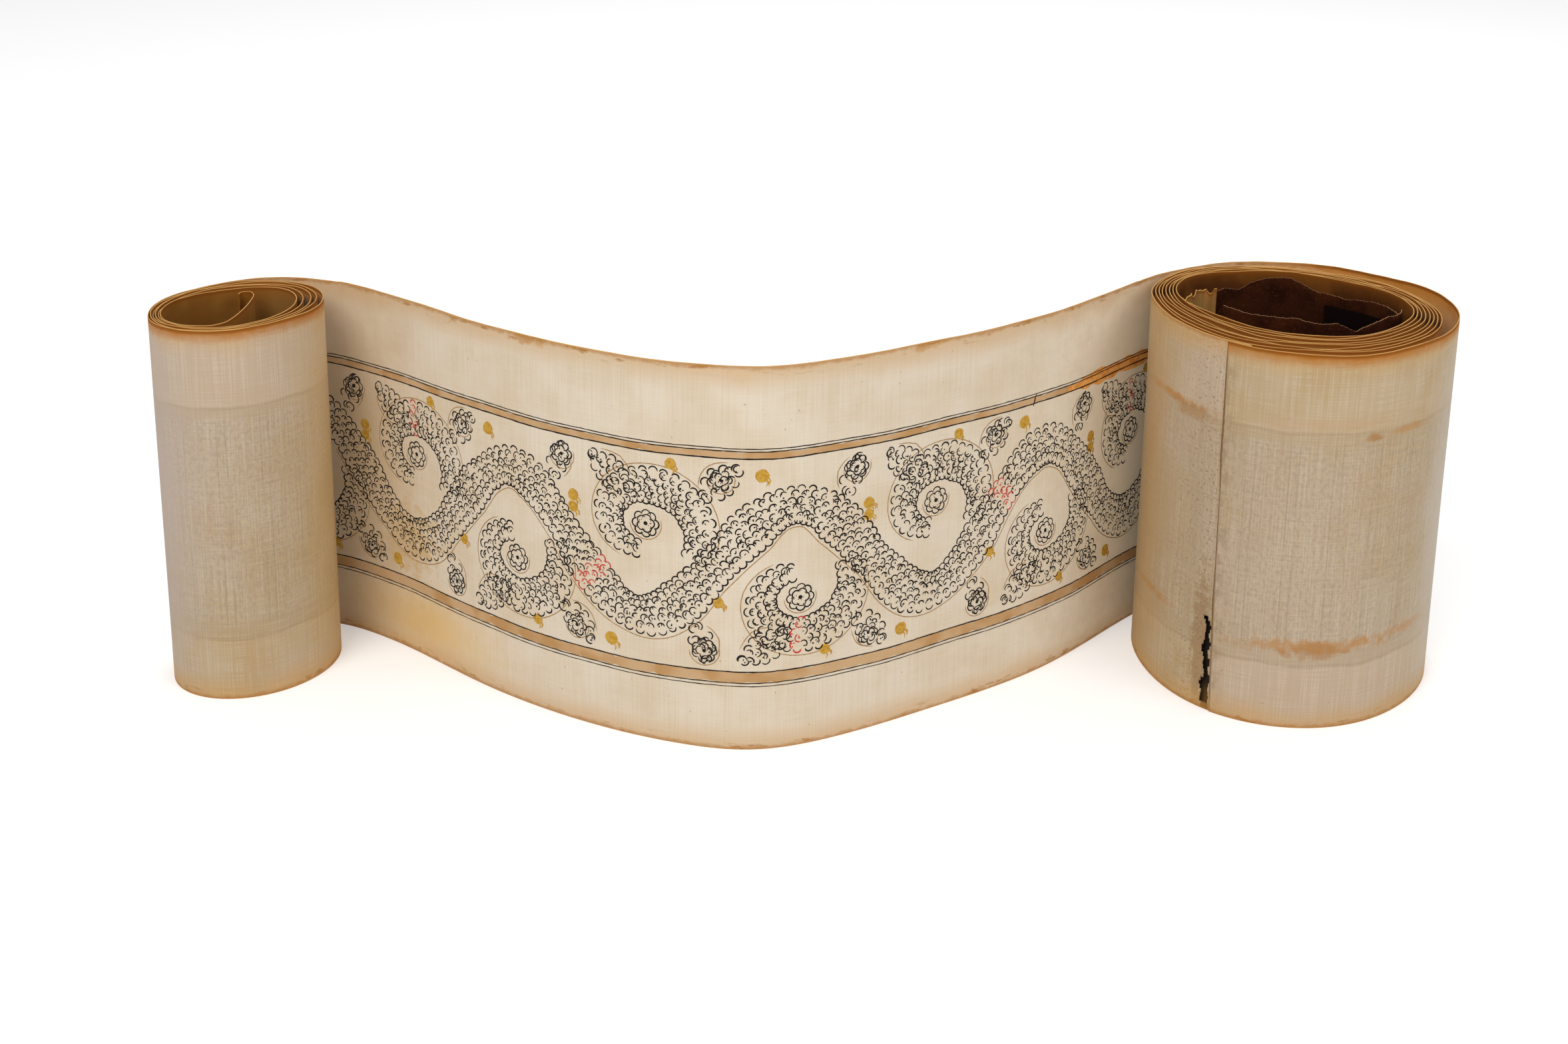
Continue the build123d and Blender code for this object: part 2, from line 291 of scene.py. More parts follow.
text_points, leave_point, meet_point = text_sheet_points()
text_strip = Strip(text_points, THICKNESS)
inner_strip = Strip(inner_sheet_points(), THICKNESS)
leaf_strip = Strip(leaf_points(), LEAF_THICKNESS)
right_middle = np.array(RIGHT_AXIS) + ORIGIN_SHIFT
STRIP_START = text_strip.nearest(leave_point + ORIGIN_SHIFT, STRIP_START_LOW)
STRIP_END = text_strip.nearest(meet_point + ORIGIN_SHIFT, STRIP_END_LOW)


def on_right_roll(angle, inset=0.0):
    """A point of the plan on the right roll's rim, or inside it."""
    return right_middle + (right_rim(angle) - inset) * np.array((cos(angle), sin(angle)))


def evenly(low, high, spacing):
    return np.linspace(low, high, max(int(ceil((high - low) / spacing)), 1) + 1)


def in_runs(start, *runs):
    """Lengths along a sheet from a start, with an end and a spacing for each run."""
    marks = [np.array([start])]
    for end, spacing in runs:
        marks.append(evenly(marks[-1][-1], end, spacing)[1:])
    return np.concatenate(marks)


def add_object(name, vertices, faces, material, marks=None, replaces=None):
    """A smooth mesh that rides the part, with named values at its vertices for its material."""
    mesh = bpy.data.meshes.new(name)
    mesh.from_pydata([tuple(v) for v in vertices], [], faces)
    mesh.update()
    mesh.polygons.foreach_set("use_smooth", [True] * len(mesh.polygons))
    for key, values in (marks or {}).items():
        layer = mesh.attributes.new(key, "FLOAT", "POINT")
        layer.data.foreach_set("value", np.asarray(values, np.float32).ravel())
    mesh.materials.append(material)
    piece = bpy.data.objects.new(name, mesh)
    bpy.context.scene.collection.objects.link(piece)
    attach(piece, "root")
    if replaces:
        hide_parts(replaces)


def add_sheet(name, strip, along, heights, material, replaces, shape, keep=None, crumple=None):
    """A closed sheet on a grid of lengths and heights. Cells that keep leaves out are open right through."""
    grid_along, grid_height = np.meshgrid(along, heights, indexing="ij")
    edge_gap = np.minimum(grid_height, HEIGHT - grid_height)
    half = np.interp(edge_gap, EDGE_GAPS, EDGE_SHARES) * strip.thickness / 2
    place_along, place_height = shape(grid_along, grid_height)
    push = crumple(grid_along, grid_height) if crumple else 0 * grid_along
    sides = [strip.place(place_along, place_height, push + offset) for offset in (half, -half)]
    rows, columns = grid_along.shape
    kept = keep(grid_along, grid_height) if keep else np.ones((rows - 1, columns - 1), bool)
    index = np.arange(rows * columns).reshape(rows, columns)

    def cells(mask, *corners):
        return np.stack([corner[mask] for corner in corners], axis=-1)

    def corners_of(table):
        return table[:-1, :-1], table[1:, :-1], table[1:, 1:], table[:-1, 1:]
    l00, l10, l11, l01 = corners_of(index)
    r00, r10, r11, r01 = corners_of(index + rows * columns)
    padded = np.pad(kept, 1)
    below, above = kept & ~padded[1:-1, :-2], kept & ~padded[1:-1, 2:]
    before, after = kept & ~padded[:-2, 1:-1], kept & ~padded[2:, 1:-1]
    faces = np.concatenate((
        cells(kept, l00, l01, l11, l10), cells(kept, r00, r10, r11, r01),
        cells(below, l00, l10, r10, r00), cells(above, l01, r01, r11, l11),
        cells(before, l00, r00, r01, l01), cells(after, l10, l11, r11, r10)))
    vertices = np.concatenate([side.reshape(-1, 3) for side in sides])
    below_rim = place_height.max(axis=1, keepdims=True) - place_height
    marks = {
        "along": np.tile(place_along.ravel(), 2),
        "height": np.tile(place_height.ravel(), 2),
        "below_rim": np.tile(below_rim.ravel(), 2),
        "inward": np.repeat((0.0, 1.0), rows * columns),
    }
    used, faces = np.unique(faces, return_inverse=True)
    faces = faces.reshape(-1, 4)
    marks = {key: values[used] for key, values in marks.items()}
    add_object(name, vertices[used], faces.tolist(), material, marks, replaces)


# Materials. Colours are given as seen on a screen, 0 to 255
def linear(colour):
    """A screen colour as light."""
    shares = [c / 255 for c in colour]
    return tuple(((c + 0.055) / 1.055) ** 2.4 if c > 0.04 else c / 12.92 for c in shares) + (1.0,)


class Paint:
    """A node material with a Principled shader, whose tone is built up from washes."""

    def __init__(self, name, roughness, specular):
        self.material = bpy.data.materials.new(name)
        self.material.use_nodes = True
        self.nodes = self.material.node_tree.nodes
        self.shader = self.nodes["Principled BSDF"]
        self.shader.inputs["Roughness"].default_value = roughness
        self.shader.inputs["Specular IOR Level"].default_value = specular
        self.tone = None

    def put(self, socket, value):
        """Links a socket to another node, or gives it a number or a colour."""
        if isinstance(value, bpy.types.NodeSocket):
            self.material.node_tree.links.new(value, socket)
        else:
            socket.default_value = linear(value) if isinstance(value, tuple) else value

    def node(self, kind, *values):
        """A node with its first inputs filled in."""
        node = self.nodes.new(kind)
        for socket, value in zip(node.inputs, values):
            self.put(socket, value)
        return node

    def number(self, operation, *values):
        node = self.node("ShaderNodeMath", *values)
        node.operation = operation
        return node.outputs[0]

    def times(self, first, second):
        return self.number("MULTIPLY", first, second)

    def square(self, value):
        return self.times(value, value)

    def plus(self, first, second):
        return self.number("ADD", first, second)

    def minus(self, first, second):
        return self.number("SUBTRACT", first, second)

    def away_from(self, value, middle):
        return self.number("ABSOLUTE", self.minus(value, middle))

    def ragged(self, value, pattern, reach):
        """A value that a pattern moves up and down."""
        return self.plus(value, self.times(self.minus(pattern, 0.5), reach))

    def read(self, name):
        node = self.nodes.new("ShaderNodeAttribute")
        node.attribute_name = name
        return node.outputs["Fac"]

    def vector(self, x, y, z):
        return self.node("ShaderNodeCombineXYZ", x, y, z).outputs[0]

    def stretch(self, vector, x, y, z):
        node = self.node("ShaderNodeVectorMath", vector)
        node.operation = "MULTIPLY"
        node.inputs[1].default_value = (x, y, z)
        return node.outputs[0]

    def noise(self, vector, scale, detail, roughness=0.5):
        node = self.node("ShaderNodeTexNoise", vector)
        node.inputs["Scale"].default_value = scale
        node.inputs["Detail"].default_value = detail
        node.inputs["Roughness"].default_value = roughness
        return node.outputs[0]

    def fade(self, value, low, high, from_share=0.0, to_share=1.0):
        """A share that goes smoothly from one value to another as the input goes from low to high."""
        node = self.node("ShaderNodeMapRange", value, low, high, from_share, to_share)
        node.interpolation_type = "SMOOTHSTEP"
        return node.outputs[0]

    def mix(self, share, first, second):
        node = self.node("ShaderNodeMix", share)
        node.data_type = "RGBA"
        node.clamp_factor = True
        self.put(node.inputs[6], first)
        self.put(node.inputs[7], second)
        return node.outputs[2]

    def wash(self, share, colour):
        self.tone = self.mix(share, self.tone, colour)

    def finish(self, height=None, strength=0.0, distance=0.0):
        """Puts the tone on the shader, with a bump where a height is given."""
        self.put(self.shader.inputs["Base Color"], self.tone)
        if height is not None:
            node = self.nodes.new("ShaderNodeBump")
            node.inputs["Strength"].default_value = strength
            node.inputs["Distance"].default_value = distance
            self.put(node.inputs["Height"], height)
            self.put(self.shader.inputs["Normal"], node.outputs[0])
        return self.material


# Heights of the painted bands, and those between which the written field fades in at its foot and its top
INK_BANDS = ((76.6, 79.1), (17.0, 21.0))
FIELD_LOW, FIELD_TOP = (19.5, 22.5), (77.5, 75.5)
# Rules between columns of writing, and a shift that keeps the patterns of the two faces apart
RULE_START, RULE_PITCH, RULE_OFF = 4.0, 5.35, 1.05
FACE_SHIFT = 50.0
ROLL_EASE = 12.0
ON_TEXT_SIDE, OUTSIDE = True, False


class Paper(Paint):
    """Aged paper: cream on its text side, duller outside, brown towards its edges, with stained patches, and
    painted light and shade in a few ovals, deep in the rolls and under their rims.
    """

    def __init__(self, name, rolled):
        """The paper is rolled up to the first of two lengths, and from the second on."""
        super().__init__(name, 0.85, 0.12)
        self.along, self.height, self.inward, self.below_rim = (
            self.read(key) for key in ("along", "height", "inward", "below_rim"))
        self.edge_gap = self.number("MINIMUM", self.height, self.below_rim)
        self.text_face, self.outer_face = self.fade(self.inward, 0.4, 0.6), self.fade(self.inward, 0.6, 0.4)
        first, last = rolled
        self.in_roll = self.number("MAXIMUM", self.fade(self.along, first + ROLL_EASE, first - ROLL_EASE),
                                   self.fade(self.along, last - ROLL_EASE, last + ROLL_EASE))
        self.spot = self.vector(self.along, self.height, self.times(self.inward, FACE_SHIFT))
        self.cloud = self.noise(self.spot, 0.075, 3.0)
        self.mottle = self.noise(self.spot, 0.32, 3.0, 0.6)
        upright = self.noise(self.stretch(self.spot, 2.6, 0.05, 1.0), 1.0, 1.0)
        level = self.noise(self.stretch(self.spot, 0.09, 2.6, 1.0), 1.0, 1.0)
        self.weave = self.plus(self.times(upright, 0.62), self.times(level, 0.38))

    def lay_outside(self):
        self.tone = self.mix(self.fade(self.cloud, 0.32, 0.7), (192, 170, 137), (187, 159, 119))
        broad = self.noise(self.spot, 0.016, 2.0)
        self.wash(self.fade(broad, 0.4, 0.62, 0.0, 0.75), (198, 177, 154))

    def show_through(self, ghost):
        """The writing from behind: cool mottled columns between the ghosts of the two painted bands."""
        field = self.times(self.fade(self.height, *FIELD_LOW), self.fade(self.height, *FIELD_TOP))
        script = self.noise(self.stretch(self.spot, 1.15, 0.75, 1.0), 1.0, 3.0, 0.65)
        print_through = self.times(field, self.fade(script, 0.44, 0.60, 0.14 * ghost, 0.46 * ghost))
        self.wash(print_through, (156, 141, 122))
        column = self.number("PINGPONG", self.plus(self.along, RULE_START), RULE_PITCH)
        rule = self.fade(self.away_from(column, RULE_OFF), 0.24, 0.06, 0.0, 0.30 * ghost)
        self.wash(self.times(field, rule), (140, 130, 110))
        band_height = self.ragged(self.height, self.cloud, 3.0)
        for low, high in INK_BANDS:
            in_band = self.times(self.fade(band_height, low - 0.9, low + 0.2),
                                 self.fade(band_height, high + 0.9, high - 0.2))
            self.wash(self.times(in_band, 0.36 * ghost), (168, 146, 116))
            border = self.away_from(band_height, high if low > HEIGHT / 2 else low)
            self.wash(self.fade(border, 0.7, 0.1, 0.0, 0.18 * ghost), (150, 122, 88))

    def lay_text_side(self):
        cream = self.mix(self.fade(self.cloud, 0.35, 0.7), (230, 215, 193), (223, 204, 176))
        self.wash(self.text_face, cream)

    def lay_fibres(self):
        """Pale and dark fibres that cross, a grain, and a few flecks."""
        self.wash(self.fade(self.weave, 0.46, 0.66, 0.0, 0.16), (245, 234, 216))
        self.wash(self.fade(self.weave, 0.50, 0.32, 0.0, 0.12), (190, 164, 124))
        self.wash(self.fade(self.noise(self.spot, 2.4, 2.0), 0.60, 0.75, 0.0, 0.12), (186, 158, 118))
        self.wash(self.fade(self.noise(self.spot, 0.9, 1.0), 0.745, 0.80, 0.0, 0.5), (150, 120, 84))

    def stain(self, where, at_height, wide, tall, colour, strength, on_text_side, ragged, inner):
        """An oval with a ragged border, which is at full strength up to the inner share of its size."""
        off_along = self.number("DIVIDE", self.minus(self.along, where), wide)
        off_height = self.number("DIVIDE", self.minus(self.height, at_height), tall)
        away = self.number("SQRT", self.plus(self.square(off_along), self.square(off_height)))
        share = self.fade(self.ragged(away, self.mottle, ragged), 1.05, inner, 0.0, strength)
        self.wash(self.times(share, self.text_face if on_text_side else self.outer_face), colour)

    def speckle(self, reach):
        """Fine dark specks, thickest beside the seam."""
        speck = self.fade(self.noise(self.spot, 1.3, 2.0, 0.6), 0.56, 0.65, 0.0, 0.62)
        near = self.times(self.fade(self.along, reach, 0.0), self.fade(self.mottle, 0.38, 0.54))
        self.wash(self.times(self.times(speck, near), self.outer_face), (104, 84, 60))

    def darken_end(self, length):
        """Dirt at the pasted end, which leans back towards the bottom, and a wavering dark line along it
        that is painted shadow of the raised edge.
        """
        slant = self.times(self.height, SEAM_SLANT / HEIGHT)
        end_gap = self.minus(self.plus(length - SEAM_SLANT, slant), self.along)
        dirt = self.times(self.fade(end_gap, 5.0, 0.0, 0.0, 0.4), self.fade(self.mottle, 0.40, 0.62))
        self.wash(dirt, (136, 108, 74))
        # Painted shadow: the dark line beside the raised pasted edge
        line = self.fade(self.ragged(end_gap, self.mottle, 1.0), 0.62, 0.15, 0.0, 0.8)
        self.wash(line, (116, 82, 46))

    def brown_edges(self):
        """A wide pale brown and a narrow dark one along the cut edges, and orange-brown bits."""
        wide_gap = self.ragged(self.edge_gap, self.cloud, 9.0)
        narrow_gap = self.ragged(self.edge_gap, self.mottle, 2.2)
        self.wash(self.fade(wide_gap, 7.5, 0.0, 0.0, 0.48), (208, 156, 82))
        self.wash(self.fade(narrow_gap, 1.5, 0.2, 0.0, 0.62), (178, 118, 48))
        bits = self.noise(self.stretch(self.spot, 0.13, 0.5, 1.0), 1.0, 3.0, 0.65)
        bit_share = self.times(self.fade(bits, 0.56, 0.66, 0.0, 0.75), self.fade(self.edge_gap, 3.2, 0.8))
        self.wash(bit_share, (176, 118, 52))

    def tone_rims_and_shade_hollows(self, hollow_shades):
        """An orange-brown band under the rims of the rolls, and painted shade that darkens and browns the
        turns deep inside them.
        """
        rim_gap = self.ragged(self.below_rim, self.mottle, 2.5)
        glow = self.times(self.fade(rim_gap, 4.2, 0.3, 0.0, 0.74), self.in_roll)
        self.wash(glow, self.mix(self.text_face, (182, 112, 34), (226, 152, 66)))
        # Painted shade on the turns deep in the rolls
        for low, high, deep, colour, patches in hollow_shades:
            patchy = self.mix(self.fade(self.cloud, 0.42, 0.62, 0.0, 0.8), colour, patches)
            self.wash(self.fade(self.along, low, high, 0.0, deep), patchy)
        self.wash(self.times(glow, 0.35), (168, 100, 30))

    def rims_and_gap_shade(self):
        """Looking into a roll, each turn shows a pale rim above a dark gap, whose darkness is painted shade.
        """
        # Painted shade in the gap just under each rim
        gap = self.times(self.in_roll, self.fade(self.below_rim, 1.3, 0.35, 0.0, 0.85))
        self.wash(gap, (138, 76, 18))
        rim = self.times(self.fade(self.edge_gap, 0.15, 0.04), self.fade(self.cloud, 0.3, 0.65, 0.45, 0.95))
        self.wash(rim, (226, 178, 106))


def paper(name, stains_light_and_shade, rolled, hollow_shades, ghost=1.0, speckled=None, pasted_end=None):
    paint = Paper(name, rolled)
    paint.lay_outside()
    paint.show_through(ghost)
    paint.lay_text_side()
    paint.lay_fibres()
    # Stains, and a few ovals of painted light and shade
    for stain in stains_light_and_shade:
        paint.stain(*stain)
    if speckled:
        paint.speckle(speckled)
    if pasted_end:
        paint.darken_end(pasted_end)
    paint.brown_edges()
    paint.tone_rims_and_shade_hollows(hollow_shades)
    paint.rims_and_gap_shade()
    return paint.finish(paint.plus(paint.weave, paint.times(paint.mottle, 0.8)), 0.22, 0.0001)


def dark_leaf():
    """Almost black paper with a pale line along its torn edge and one black patch, darker lower down as
    painted shade in the roll.
    """
    paint = Paint("dark_leaf", 0.9, 0.08)
    along, height, drop, inward = (paint.read(key) for key in ("along", "height", "below_rim", "inward"))
    spot = paint.vector(along, height, 0.0)
    cloud, grain = paint.noise(spot, 0.12, 3.0), paint.noise(spot, 1.1, 3.0)
    paint.tone = paint.mix(paint.fade(cloud, 0.35, 0.65), (42, 15, 5), (68, 31, 11))
    paint.wash(paint.fade(grain, 0.55, 0.75, 0.0, 0.3), (108, 66, 32))
    middle_line = paint.fade(paint.away_from(inward, 0.5), 0.36, 0.2)
    torn_edge = paint.fade(paint.ragged(drop, grain, 0.9), 0.5, 0.1, 0.0, 0.9)
    paint.wash(paint.times(middle_line, torn_edge), (176, 134, 92))
    # Painted shade: darker lower down in the roll's hollow
    paint.wash(paint.fade(height, 96.0, 84.0, 0.0, 0.55), (24, 8, 3))
    patch_along = paint.times(paint.fade(along, 73.0, 73.6), paint.fade(along, 92.0, 91.4))
    paint.wash(paint.times(patch_along, paint.fade(height, 92.6, 92.0)), (15, 5, 3))
    return paint.finish(grain, 0.5, 0.0003)


def ink(name, colour, second, spread, scale=1.2):
    paint = Paint(name, 0.75, 0.2)
    spot = paint.nodes.new("ShaderNodeTexCoord").outputs["Object"]
    patch = paint.noise(paint.stretch(spot, 1 / MM, 1 / MM, 1 / MM), scale, 2.0)
    paint.tone = paint.mix(paint.fade(patch, 0.4, 0.65, 0.0, spread), colour, second)
    return paint.finish()


# Stains, and ovals of painted light and shade: a place along the sheet, a height, half a width, half a
# height, colour, strength, side and border
RUST = (188, 134, 74)
DARK_RUST = (170, 118, 62)
# Black for the painted shadow in the crack and on the turn seen through it
CRACK_SHADOW = (30, 22, 18)
# Brown of the painted shade deep in the rolls
HOLLOW_SHADE_BROWN = (140, 98, 46)
FIRM, LOOSE = (1.9, 0.4), (0.5, 0.0)
inner_at = {a: inner_strip.nearest(on_right_roll(radians(a)), 0, FIRST_TURN)
            for a in (-131, -137, -142, -158, -166, -175)}
outer_at = {a: text_strip.nearest(on_right_roll(radians(a)), text_strip.length - OUTER_TURN)
            for a in (-20, -50, -60, -75, -90)}
text_stains_and_light = [
    (outer_at[-90], 22.4, 25, 2.5, RUST, 0.7, OUTSIDE, 2.4, 0.2),
    (outer_at[-90], 21.2, 9, 2.8, DARK_RUST, 0.5, OUTSIDE, *FIRM),
    (outer_at[-50], 23.0, 18, 1.6, RUST, 0.5, OUTSIDE, 2.8, 0.3),
    (outer_at[-60], 78.4, 8, 1.3, RUST, 0.5, OUTSIDE, *FIRM),
    (outer_at[-75], 77.6, 2.6, 1.5, DARK_RUST, 0.7, OUTSIDE, *FIRM),
    (outer_at[-90], 81.6, 22, 2.6, (198, 160, 126), 0.5, OUTSIDE, *LOOSE),
    # Painted sheen: a pale cool wash at the right roll's side edge
    (outer_at[-20], 50.0, 24, 90, (206, 194, 178), 0.8, OUTSIDE, *LOOSE),
    # Painted light: the open strip made paler near the right roll
    (STRIP_END - 12, 50, 78, 120, (253, 241, 216), 1.0, ON_TEXT_SIDE, *LOOSE),
    (STRIP_START + 52, 10, 44, 15, (232, 190, 116), 0.8, ON_TEXT_SIDE, *LOOSE),
    (STRIP_START + 48, 33, 16, 13, (208, 166, 88), 0.6, ON_TEXT_SIDE, 1.9, 0.2),
    (STRIP_START + 30, 50, 34, 90, (210, 180, 138), 0.75, ON_TEXT_SIDE, *LOOSE),
    (STRIP_END + 62, 98, 62, 18, (238, 166, 74), 0.95, ON_TEXT_SIDE, *LOOSE),
    (STRIP_END + 64, 60, 52, 60, (192, 152, 100), 0.6, ON_TEXT_SIDE, *LOOSE),
    (STRIP_START + 96, 99, 8, 1.8, (178, 120, 52), 0.6, ON_TEXT_SIDE, *FIRM),
    (STRIP_START + 205, 99, 7, 1.6, (178, 120, 52), 0.6, ON_TEXT_SIDE, *FIRM),
    # Painted sheen: a pale cool wash at the left roll's side edge
    (STRIP_START - 42, 50, 24, 90, (194, 178, 168), 0.75, OUTSIDE, *LOOSE),
    (STRIP_START - 100, 50, 20, 90, (204, 170, 112), 0.6, OUTSIDE, *LOOSE),
]
CRACK_FOOT, CRACK_WANDER = 2.0, 0.55
# Where the inner sheet passes the seam: near its start, and one turn further along, behind the crack
AT_SEAM, ONE_TURN_ON, TURN_DEPTH = (0, 30), (180, 320), 3.0
CRACK_ALONG = inner_strip.nearest(on_right_roll(RIGHT_SEAM, THICKNESS + PASTE_GAP), *AT_SEAM)
BEHIND_CRACK = inner_strip.nearest(on_right_roll(RIGHT_SEAM, TURN_DEPTH), *ONE_TURN_ON)


def crack_middle(height):
    """The length along the inner sheet at which the crack's middle is, at a height."""
    lean = CRACK_OFFSET - SEAM_SLANT * (1 - height / HEIGHT)
    return CRACK_ALONG + lean + CRACK_WIDTH / 2 + CRACK_WANDER * wander(height, 6, 11.0, 4.7)


inner_stains_and_shade = [
    (inner_at[-158], 80.0, 20, 1.4, RUST, 0.8, OUTSIDE, 2.2, 0.2),
    (inner_at[-142], 78.4, 9, 2.2, DARK_RUST, 0.5, OUTSIDE, *FIRM),
    (inner_at[-166], 24.0, 17, 1.6, RUST, 0.65, OUTSIDE, 2.4, 0.2),
    (inner_at[-175], 50, 16, 90, (196, 156, 98), 0.6, OUTSIDE, *LOOSE),
    (inner_at[-137], 50, 6, 60, (170, 152, 124), 0.4, OUTSIDE, *LOOSE),
    (inner_at[-131], 18.0, 3.6, 24, (150, 116, 76), 0.6, OUTSIDE, *FIRM),
    (inner_at[-158], 50.0, 18, 22, (186, 160, 118), 0.45, OUTSIDE, *LOOSE),
    # Painted shadow: black over the crack's closed foot, and on the turn behind it, where the crack shows it
    (float(crack_middle(1.0)), 0.0, 1.3, 3.4, CRACK_SHADOW, 0.98, OUTSIDE, 0.5, 0.85),
    (BEHIND_CRACK - 1, 0, 7, 34, CRACK_SHADOW, 0.97, OUTSIDE, 0.2, 0.8),
]

# Painted shade on the turns deep in the rolls: the lengths from which and to which they darken, how far, and
# their colour and its patches
text_hollow_shades = [
    (470, 250, 0.6, HOLLOW_SHADE_BROWN, HOLLOW_SHADE_BROWN),
    (210, 80, 1.0, (140, 92, 34), (156, 110, 50)),
]
inner_end = inner_strip.length
inner_hollow_shades = [
    (200, 900, 0.55, HOLLOW_SHADE_BROWN, HOLLOW_SHADE_BROWN),
    (inner_end - 420, inner_end - 200, 1.0, (84, 44, 12), (116, 68, 20)),
    (inner_end - 26, inner_end - 12, 0.8, (150, 106, 52), (178, 138, 80)),
]
ruled_paper = paper("ruled_paper", text_stains_and_light, (STRIP_START - 30, STRIP_END + 30), text_hollow_shades,
                    pasted_end=text_strip.length)
plain_paper = paper("plain_paper", inner_stains_and_shade, (-100, 120), inner_hollow_shades, ghost=0.85, speckled=34.0)
leaf_paper = dark_leaf()

black_ink = ink("black_ink", (22, 17, 15), (52, 43, 37), 0.7)
band_wash = ink("band_wash", (208, 171, 128), (190, 143, 88), 0.9, 0.09)
dark_wash = ink("dark_wash", (248, 178, 96), (226, 148, 70), 0.9, 0.5)
ochre_wash = ink("ochre_wash", (206, 162, 66), (186, 134, 44), 0.9)
red_ink = ink("red_ink", (196, 52, 44), (214, 96, 84), 0.8)
faint_ink = ink("faint_ink", (160, 122, 78), (190, 156, 112), 0.8)


# Sheets. Their rows of vertices are closer towards the edges and beside the crack
SHEET_ROWS = np.concatenate(([0.0, 0.18, 0.6, 3.0], np.linspace(10, 90, 9), [97.0, 99.4, 99.82, HEIGHT]))
CRACK_ROWS = np.linspace(0.6, CRACK_HEIGHT + 1, 24)
LEAF_ROWS = np.concatenate(([0.0, 0.18, 0.6], np.linspace(6, 90, 12), [95, 97.5, 98.8, 99.5, 99.82, HEIGHT]))
STRIP_WEAR, ROLL_WEAR, INNER_WEAR = 0.35, 0.75, 0.9
TEXT_WEAR_SEED, INNER_WEAR_SEED = 3, 8
WEAR_EASE = 25.0
PASTED_END, END_WAVER = 12.0, 0.28
LOOSE_END, TORN_EASE, TORN_DEPTH = 22.0, 10.0, 1.3
CRUMPLE, CRUMPLE_FROM = 0.8, 60.0
LEAF_FRAY, LEAF_SIDES_MEET = 0.22, 3.0
# Runs of columns: where each ends along its sheet, and how wide its columns are
TEXT_RUNS = (45, 0.8), (text_strip.length - PASTED_END, 1.6), (text_strip.length, 0.6)
INNER_RUNS = ((CRACK_ALONG - 5, 0.8), (CRACK_ALONG + 7, 0.16), (inner_strip.length - 30, 1.7),
              (inner_strip.length, 0.7))
LEAF_COLUMN = 0.35


def rim_wear(along, seed, depth):
    """How far the top edge has worn down, in millimetres."""
    return depth * (0.5 + 0.45 * wander(along, seed, 83, 47, 29) + 0.05 * wander(along, seed + 50, 11, 7))


def lowered(height, wear):
    """Heights brought down by the wear of the top edge, and the less the further they are from it."""
    return height - wear * (height / HEIGHT) ** 6


def text_shape(along, height):
    """The pasted end leans back towards the bottom, and the top edge is a little worn."""
    end = np.clip((along - (text_strip.length - PASTED_END)) / PASTED_END, 0, 1)
    waver = END_WAVER * wander(height, 31, 43, 19, 8.5)
    moved = along - end ** 2 * (SEAM_SLANT * (1 - height / HEIGHT) + waver)
    on_strip = (along > STRIP_START + WEAR_EASE) & (along < STRIP_END - WEAR_EASE)
    return moved, lowered(height, rim_wear(along, TEXT_WEAR_SEED, np.where(on_strip, STRIP_WEAR, ROLL_WEAR)))


def inner_shape(along, height):
    """The top edge is worn, and torn at the loose inner end."""
    near_end = np.clip((along - (inner_strip.length - LOOSE_END)) / TORN_EASE, 0, 1)
    torn = near_end * TORN_DEPTH * (1 + wander(along, 44, 6.3, 3.1, 2.2))
    worn = rim_wear(along, INNER_WEAR_SEED, INNER_WEAR) * np.clip(along / 30, 0.2, 1)
    return along, lowered(height, worn + torn)


def crack_keep(along, height):
    """Leaves out the jagged crack beside the seam, wider towards the bottom and closed at its foot."""
    middle_along, middle_height = ((grid[:-1, :-1] + grid[1:, 1:]) / 2 for grid in (along, height))
    widening = 0.86 + 0.50 * (1 - middle_height / CRACK_HEIGHT)
    wide = CRACK_WIDTH * widening * (1 + 0.40 * wander(middle_height, 5, 10.3, 5.1))
    beside = np.abs(middle_along - crack_middle(middle_height)) > wide / 2
    return beside | (middle_height > CRACK_HEIGHT) | (middle_height < CRACK_FOOT)


def flap_crumple(along, height):
    """The loose inner end has crumpled towards its top edge."""
    near_end = np.clip((along - (inner_strip.length - LOOSE_END)) / LOOSE_END, 0, 1)
    fold = wander(along, 12, 6.1, 3.3) * 0.7 + wander(height + along, 13, 17, 9) * 0.5
    return CRUMPLE * near_end * fold * np.clip((height - CRUMPLE_FROM) / (HEIGHT - CRUMPLE_FROM), 0, 1)


def leaf_shape(along, height):
    """Drops the top edge to the torn outline, which differs in front and behind."""
    x, y = between(along, leaf_strip.marks, leaf_strip.plan - right_middle)
    front, back = (np.interp(x / RIGHT_BREADTH, *np.array(tear).T) for tear in (FRONT_TEAR, BACK_TEAR))
    blend = np.clip(y / LEAF_SIDES_MEET + 0.5, 0, 1)
    drop = (front * (1 - blend) + back * blend) * LEAF_TEAR
    fray = LEAF_FRAY * (1 + wander(along, 21, 5.3, 2.3, 1.1, 0.7))
    return along, height * (1 - (drop + fray) / HEIGHT)


text_along, inner_along = in_runs(0, *TEXT_RUNS), in_runs(0, *INNER_RUNS)
leaf_along = evenly(0, leaf_strip.length, LEAF_COLUMN)
inner_rows = np.unique(np.concatenate((SHEET_ROWS, CRACK_ROWS)))
add_sheet("ruled_sheet", text_strip, text_along, SHEET_ROWS, ruled_paper, "text_sheet",
          text_shape)
add_sheet("pasted_sheet", inner_strip, inner_along, inner_rows, plain_paper, "inner_sheet",
          inner_shape, crack_keep, flap_crumple)
add_sheet("torn_leaf", leaf_strip, leaf_along, LEAF_ROWS, leaf_paper, "end_leaf", leaf_shape)


